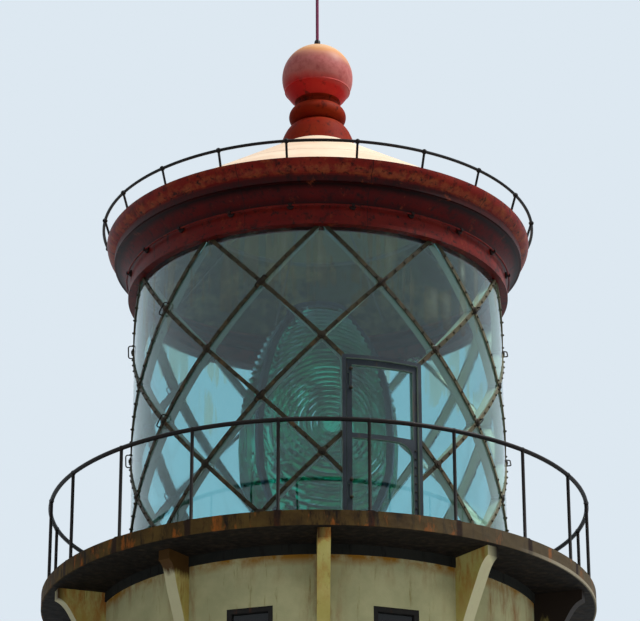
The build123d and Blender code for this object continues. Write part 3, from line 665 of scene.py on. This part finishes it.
# Lantern glass
# Diamond panes of old cylinder glass, bent to the lantern's curve and faintly green. A film of salt and dust
# lies on them in patches, and pale runs of lime come down from the cornice.
lantern_glass, tree, shader = new_material("lantern_plate_glass")
shader.inputs["Specular IOR Level"].default_value = 0.04
shader.inputs["IOR"].default_value = 1.5
place = add(tree, "TexCoord").outputs["Object"]
film = mottled(tree, place, 260, (0.35, 0.75), (0.0, 0.09), detail=6.0, roughness=0.7, stretch=0.35)
tree.links.new(film, shader.inputs["Roughness"])
runs = mottled(tree, place, 110, (0.50, 0.70), (0.0, 0.14), detail=6.0, roughness=0.6, stretch=0.05)
high_up = add(tree, "MapRange", {"From Min": deck_top + 2.2, "From Max": deck_top + 3.0},
              {"Value": add(tree, "SeparateXYZ", {}, {0: place}).outputs["Z"]})
for limit in (high_up, mottled(tree, place, 900, (0.46, 0.56))):
    runs = add(tree, "Math", {"operation": "MULTIPLY"}, {0: runs, 1: limit})
grime = add(tree, "Math", {"operation": "GREATER_THAN", 1: 0.004}, {0: runs})
tint = add(tree, "Mix", {"data_type": "RGBA", 6: linear("#B6DDE2"), 7: linear("#BDD0C2")}, {0: grime})
tree.links.new(tint.outputs[2], shader.inputs["Base Color"])
clean = add(tree, "Math", {"operation": "SUBTRACT", 0: 1.0}, {1: runs})
tree.links.new(clean.outputs[0], shader.inputs["Transmission Weight"])
# Cylinder glass is slowly wavy, which bends what shows through it and in it.
waves = add(tree, "Bump", {"Strength": 0.25, "Distance": 0.001},
            {"Height": mottled(tree, place, 190, detail=1.0)})
tree.links.new(waves.outputs[0], shader.inputs["Normal"])
# The panes cast no shadow, so that daylight reaches the lens and the lining.
clear = add(tree, "Math", {"operation": "SUBTRACT", 0: 1.0},
            {1: add(tree, "LightPath").outputs["Is Shadow Ray"]})
tree.links.new(clear.outputs[0], shader.inputs["Alpha"])
dress(lantern_glass, "lantern_panes_upper", "lantern_panes_lower", "door_panes")

# Lantern door
# A curved cast frame with a glazed leaf, in dark blue grey oil paint with a low sheen. The edges that face
# sideways keep an older pale green. Dark hinge bands cross the hung side, and studs hold the lock plate.
door_paint, tree, place = weathered("door_paint", "#2A3036", "#3B4248", "#54493E", 0.60, streak_mm=40,
                                    roughness=0.5, relief_mm=0.5)
squarely = add(tree, "Math", {"operation": "ABSOLUTE"}, {0: faces_away(tree, place)})
sideways = add(tree, "Math", {"operation": "LESS_THAN", 1: 0.5}, {0: squarely})
coat(tree, (sideways, "#8FA08E"))
dress(door_paint, "door_frame", "door_leaf")
leaf_radius = strap_face - 0.005
band_heights = np.array([0.42, 0.59, 1.49, 1.68])
band_azimuth = door_azimuths[0] + 2.6
band_profile = [(0, -0.004), (0.018, -0.004), (0.018, 0.010), (0.010, 0.014), (0, 0.014)]
bands = set_round(lathe(band_profile, 10), facing_out, band_azimuth, leaf_radius, deck_top + band_heights)
stud_heights = np.arange(0.30, 1.02, 0.08)
stud_azimuth = door_azimuths[1] - 2.0
stud = screw_head(width=0.020, height=0.010)
studs = set_round(stud, facing_out, stud_azimuth, leaf_radius, deck_top + stud_heights)
door_bolts = build("door_bolts", *joined(bands, studs), plate_paint)
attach(door_bolts, "root")

# Cornice
# The moulded iron head of the lantern, in old oxblood oil paint with a faint, uneven sheen. Rust lies on the
# mouldings and along every edge, painted shade darkens the hollow moulding and the bead, and a band of rust
# doubles as a painted highlight. Dark clamps hold the rod round the fascia.
cornice_paint, tree, place = weathered("oxblood_paint", "#781812", "#8C2A1C", "#45150E", 0.54, streak_mm=110,
                                       streak_stretch=0.6, roughness=0.45, relief_mm=1.0, patch_mm=240)
shader = tree.nodes["Principled BSDF"]
shader.inputs["Specular IOR Level"].default_value = 0.10
axes = add(tree, "SeparateXYZ", {}, {0: place})
cornice_low, cornice_high = (corner.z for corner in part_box("lantern_cornice"))
share = add(tree, "MapRange", {"From Min": cornice_low, "From Max": cornice_high},
            {"Value": axes.outputs["Z"]})
# Painted shade: a ramp on height darkens the hollow moulding and the bead under the top moulding.
shade = add(tree, "ValToRGB", {"stops": [
    (0.0, "#B9A39A"), (0.06, "#D8C4C4"), (0.33, "#E0CCCA"), (0.37, "#5A2622"), (0.46, "#A4483C"),
    (0.56, "#A4483C"), (0.62, "#30110E"), (0.65, "#6A4644"), (0.73, "#8A6866"), (0.79, "#FFFFFF"),
    (0.90, "#FFFFFF"), (1.0, "#E8D8D4")]}, {"Fac": share})
shaded = add(tree, "Mix", {"data_type": "RGBA", "blend_type": "MULTIPLY", 0: 1.0},
             {6: shader.inputs["Base Color"].links[0].from_socket, 7: shade})
tree.links.new(shaded.outputs[2], shader.inputs["Base Color"])
# Rust along the edges. Its band round the lower part of the top moulding is also a painted highlight.
edge_rust_and_highlight = add(tree, "ValToRGB", {"stops": [
    (0.0, "#555555"), (0.30, "#3A3A3A"), (0.38, "#000000"), (0.63, "#000000"), (0.74, "#202020"),
    (0.79, "#C8C8C8"), (0.86, "#C0C0C0"), (0.93, "#505050"), (1.0, "#A0A0A0")]}, {"Fac": share})
rust = add(tree, "Math", {"operation": "MULTIPLY_ADD", 1: 0.34},
           {0: edge_rust_and_highlight, 2: mottled(tree, place, 130, detail=9.0, roughness=0.72, stretch=0.8)})
rust = add(tree, "MapRange", {"From Min": 0.60, "From Max": 0.78}, {"Value": rust})
spots = mottled(tree, place, 60, (0.52, 0.64), detail=9.0, roughness=0.75)
joint = add(tree, "Math", {"operation": "LESS_THAN", 1: 0.0035},
            {0: off_division(tree, axes, bay_count, shift=0.37)})
joint = add(tree, "Math", {"operation": "MULTIPLY", 1: 0.7}, {0: joint})
coat(tree, (rust, "#964626"), (spots, "#1A0A09"), (joint, "#170B0A"))
dress(cornice_paint, "lantern_cornice", "cornice_rod")
fascia_radius = 1.874
rod_level = deck_top + 3.306
clamp_profile = [(0, -0.004), (0.034, -0.004), (0.034, 0.016), (0.020, 0.026), (0.016, 0.052), (0, 0.052)]
clamps = set_round(lathe(clamp_profile, 10), facing_out, post_azimuths, fascia_radius, rod_level)
# The clamps are black with a little rust, and dull.
clamp_paint, *_ = weathered("clamp_paint", "#1B0F0D", "#271411", "#3E2014", 0.56, streak_mm=30,
                            streak_stretch=1.0)
rod_clamps = build("cornice_rod_clamps", *clamps, clamp_paint)
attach(rod_clamps, "root")

# Roof
# Sheet iron on the cornice, painted a red that the sun has bleached to a pinkish cream. A dark seam runs
# round it where the lower sheets end.
seam_radius = 1.36
seam_half = 0.006
# Bleached paint is matt, with broad soft patches.
roof_paint, tree, place = weathered("bleached_roof_paint", "#E3C6A9", "#ECD5BA", "#CF9C7C", 0.60,
                                    streak_mm=120, streak_stretch=1.0, patch_mm=600)
seam = add(tree, "Math", {"operation": "COMPARE", 1: seam_radius, 2: seam_half},
           {0: from_axis(tree, place, "LENGTH")})
seam = add(tree, "Math", {"operation": "MULTIPLY", 1: 0.75}, {0: seam})
coat(tree, (seam, "#5E4438"))
dress(roof_paint, "roof_cone")

# Ceiling lining
# Thin sheets under the roof, a dark grey green with tan patches where the paint has gone, and paler within a
# circle above the lens. Battens cover the joints between them, and a flat ring goes round the circle's edge.
disc_radius = 1.20
# Matt paint with large soft stains.
lining_paint, tree, place = weathered("lining_paint", "#3E4F34", "#64704C", "#A0925E", 0.50, streak_mm=560,
                                      streak_stretch=1.0, roughness=0.7, patch_mm=800)
disc_edge = {"From Min": disc_radius + 0.004, "From Max": disc_radius - 0.004, "To Max": 0.75}
on_disc = add(tree, "MapRange", disc_edge, {"Value": from_axis(tree, place, "LENGTH")})
coat(tree, (on_disc, "#A09C72"))
dress(lining_paint, "ceiling_lining")
lining_low, lining_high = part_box("ceiling_lining")
lining_hole = 0.420
lining_sheet = 0.005
lining_slope = (lining_high.z - lining_low.z) / (lining_high.x - lining_hole)


def under_lining(radius, drop):
    """Height of the lining's underside at a radius, and a drop below it: the cone's straight slope."""
    slope_height = (lining_high.x - radius) * lining_slope
    return lining_low.z + slope_height - lining_sheet * math.hypot(1, lining_slope) - drop


strip_sink = -0.002
batten_half = 0.009
batten_depth = 0.008
batten_ends = (0.50, 1.86)
batten_turn = 13.0
corners = [(side * batten_half, -radius, under_lining(radius, drop)) for radius in batten_ends
           for side, drop in ((-1, strip_sink), (1, strip_sink), (1, batten_depth), (-1, batten_depth))]
batten_faces = [np.concatenate([grid(2, 4, False, True), [[0, 1, 2, 3], [7, 6, 5, 4]]])]
batten_azimuths = np.arange(bay_count) * 2 * half_turn + batten_turn
battens = placed(np.array(corners), batten_faces, upright(batten_azimuths), np.zeros((bay_count, 3)))
ring_half = 0.015
ring_depth = 0.010
ring_profile = [(disc_radius + side * ring_half, under_lining(disc_radius + side * ring_half, drop))
                for side, drop in ((-1, strip_sink), (1, strip_sink), (1, ring_depth), (-1, ring_depth))]
# The battens have a paler coat of the same matt paint.
batten_paint, *_ = weathered("batten_paint", "#7C8478", "#8A8C7A", "#5F5C4A", 0.58, streak_stretch=1.0)
ring = lathe(ring_profile, 90, closed=True)
ceiling_battens = build("ceiling_battens", *joined(battens, ring), batten_paint)
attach(ceiling_battens, "root")

# Roof rail
# A thin iron bar on short stanchions that stand round the eave. At each of them it goes through a ball
# fitting, in the handrail's black paint.
roof_rail_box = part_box("roof_rail")
roof_rail_bar = 0.028
roof_rail_radius = roof_rail_box[1].x - roof_rail_bar / 2
roof_rail_level = roof_rail_box[1].z - roof_rail_bar / 2
roof_ball_width = 0.052
roof_ball = ball(roof_ball_width, 12)
roof_balls = set_round(roof_ball, upright, post_azimuths, roof_rail_radius, roof_rail_level)
roof_knobs = build("roof_rail_knobs", *roof_balls, rail_iron)
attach(roof_knobs, "root")
dress(rail_iron, "roof_rail")

# Ventilator
# A flared iron neck and a hollow ball in signal red oil paint, chalky and with little sheen. The ball's crown
# is a creamy orange towards the sun, which is painted sunlight, a dull mauve lies below that, and only the
# lowest part is still red.
ball_paint, tree, place = weathered("signal_red_paint", "#C02020", "#CC3024", "#781E16", 0.57, streak_mm=80,
                                    streak_stretch=0.8, roughness=0.5, relief_mm=0.6, patch_mm=260)
ball_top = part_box("ventilator_ball")[1]
sun_side = (0.142, 0.024, 0.990)
above = add(tree, "VectorMath", {"operation": "SUBTRACT", 1: (0.0, 0.0, ball_top.z - ball_top.x)}, {0: place})
above = add(tree, "VectorMath", {"operation": "DOT_PRODUCT", 1: sun_side}, {0: above})
above = add(tree, "Math", {"operation": "MULTIPLY_ADD", 1: 0.10},
            {0: mottled(tree, place, 170, detail=6.0, roughness=0.6), 2: above.outputs["Value"]})
mauve = add(tree, "MapRange", {"From Min": -0.14, "From Max": -0.03}, {"Value": above})
chalk = mottled(tree, place, 75, (0.46, 0.66), (0.0, 0.6), detail=8.0, roughness=0.7)
chalk = add(tree, "Math", {"operation": "MULTIPLY"}, {0: chalk, 1: mauve})
# Painted sunlight: the crown turns a creamy orange on its side towards the sun.
crown = add(tree, "MapRange", {"From Min": 0.14, "From Max": 0.30}, {"Value": above})
sunlit_crown_colours = add(tree, "ValToRGB", {"stops": [
    (0.0, "#B4705C"), (0.35, "#C9866A"), (0.70, "#D6955F"), (1.0, "#DDAE82")]}, {"Fac": crown})
sunlit = add(tree, "MapRange", {"From Min": 0.10, "From Max": 0.19}, {"Value": above})
coat(tree, (mauve, "#C2706A"), (chalk, "#9C3E40"), (sunlit, sunlit_crown_colours.outputs[0]))
dress(ball_paint, "ventilator_ball")
# The neck's paint is a darker red with hardly any gloss.
neck_paint, tree, _ = weathered("neck_red_paint", "#7C1B08", "#86280E", "#46140A", 0.54, streak_mm=70,
                                streak_stretch=0.5, relief_mm=0.6, patch_mm=300)
tree.nodes["Principled BSDF"].inputs["Specular IOR Level"].default_value = 0.04
dress(neck_paint, "ventilator_neck")
# The rod's paint is glossier than the ball's, and its socket is black.
rod_paint, tree, place = weathered("rod_paint", "#7E3354", "#8E4262", "#4E2034", 0.58, streak_mm=30,
                                   roughness=0.4)
axes = add(tree, "SeparateXYZ", {}, {0: place})
socket_top = ball_top.z + 0.085
socket = add(tree, "Math", {"operation": "LESS_THAN", 1: socket_top}, {0: axes.outputs["Z"]})
coat(tree, (socket, "#17110F"))
rod_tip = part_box("lightning_rod")[1].z
rod_low = ball_top.z - 0.003
rod_radius = 0.016
socket_radius = 0.031
rod_profile = [(0, rod_low), (socket_radius, rod_low), (socket_radius, socket_top - 0.015),
               (0.024, socket_top), (rod_radius, socket_top), (rod_radius, rod_tip - 0.12), (0, rod_tip)]
rod = build("pointed_rod", *lathe(rod_profile, 16), rod_paint)
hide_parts("lightning_rod")
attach(rod, "root")

# Lens
# Three panels of crown glass in a gunmetal frame, bent to a beehive, each with rings of prisms round a
# bull's-eye. The glass is green and bends light strongly, and its ground faces are faintly hazy.
lens_glass, tree, shader = new_material("crown_glass")
shader.inputs["Base Color"].default_value = linear("#4FC79E")
shader.inputs["Transmission Weight"].default_value = 0.95
shader.inputs["IOR"].default_value = 1.62
ground = mottled(tree, add(tree, "TexCoord").outputs["Object"], 35, span=(0.01, 0.05), detail=3.0)
tree.links.new(ground, shader.inputs["Roughness"])

focal_height = deck_top + 1.550
glass_low = deck_top + 0.640
glass_high = deck_top + 2.970
beehive_heights = np.array([0.0, 0.24, 0.39, 0.63, 1.0, 1.3, 1.46, 1.65, 1.805, 2.0])
beehive_radii = np.array([0.430, 0.602, 0.672, 0.753, 0.772, 0.751, 0.700, 0.618, 0.510, 0.317])


def beehive(height):
    """Radius of the glass at a height: a line through the radii at shares of the lower and upper parts."""
    low = (height - glass_low) / (focal_height - glass_low)
    high = 1 + (height - focal_height) / (glass_high - focal_height)
    return np.interp(np.where(height < focal_height, low, high), beehive_heights, beehive_radii)


panel_count = 3
panel_turn = 360 / panel_count
first_middle = 9.0
panel_middles = first_middle + panel_turn * np.arange(panel_count)
upright_turn = 2.2
edge_sine = math.sin(math.radians(panel_turn / 2 - upright_turn))
prism_pitch = 0.056
first_ring = 0.115
least_arc = 0.03
arc_step = 0.018
edge_room = 0.06
prism_profile = np.array([(-0.022, -0.048), (-0.025, -0.016), (-0.004, 0.010), (0.024, -0.018),
                          (0.020, -0.048)])


def prism_arc(radius, start, end, count):
    """A ring prism of one panel: its profile carried on a circle round the bull's-eye in X and height, at the
    beehive's radius for each height."""
    turn = np.linspace(start, end, count)[:, None]
    across = (radius + prism_profile[:, 0]) * np.cos(turn)
    height = focal_height + (radius + prism_profile[:, 0]) * np.sin(turn)
    reach = beehive(height) + prism_profile[:, 1]
    depth = np.sqrt(reach ** 2 - across ** 2)
    points = np.stack([across, -depth, height], -1).reshape(-1, 3)
    sides = len(prism_profile)
    first = np.arange(sides)
    return points, [grid(count, sides, False, True), np.array([first[::-1], first + (count - 1) * sides])]


def panel_prisms():
    """All the ring prisms of a panel, each cut where it leaves the panel's edges, foot or head."""
    shapes = []
    for radius in np.arange(first_ring, glass_high - focal_height, prism_pitch):
        turn = np.linspace(-np.pi / 2, 1.5 * np.pi, 1441)
        half = np.abs(prism_profile[:, 0]).max()
        height = focal_height + radius * np.sin(turn)
        room = beehive(height) - edge_room
        fits = ((np.abs(radius * np.cos(turn)) + half < room * edge_sine)
                & (height - half > glass_low) & (height + half < glass_high))
        edges = np.flatnonzero(np.diff(np.concatenate([[0], fits.astype(int), [0]])))
        for first, last in edges.reshape(-1, 2):
            start, end = turn[first], turn[last - 1]
            length = (end - start) * radius
            if length > least_arc:
                shapes.append(prism_arc(radius, start, end, max(8, int(length / arc_step))))
    return joined(*shapes)


prisms = panel_prisms()
for index, middle in enumerate(panel_middles):
    points, faces = placed(*prisms, upright(np.array([middle])), np.zeros((1, 3)))
    prism_piece = build(f"ring_prisms_{index + 1}", points, faces, lens_glass, sharp=25.0)
    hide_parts(f"lens_panel_{index + 1}", f"lens_prisms_{index + 1}")
    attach(prism_piece, "lens")

# Dull gunmetal, only partly metallic, coloured blue grey as a painted reflection of the sky.
gunmetal, *_ = weathered("gunmetal_sky_tinted", "#30404C", "#3C4A50", "#2A2E2C", 0.55, streak_mm=40,
                         streak_stretch=1.0, roughness=0.42, grain_mm=6, relief_mm=0.4)
gunmetal.node_tree.nodes["Principled BSDF"].inputs["Metallic"].default_value = 0.3
dress(gunmetal, "lens_uprights", "lens_foot_ring", "lens_head_ring", "lens_turntable")
# Enamel, the glossiest paint here, because it stands indoors.
pedestal_paint, *_ = weathered("pedestal_enamel", "#3E4C43", "#4A574D", "#2E3630", 0.57, roughness=0.38)
dress(pedestal_paint, "lens_pedestal")
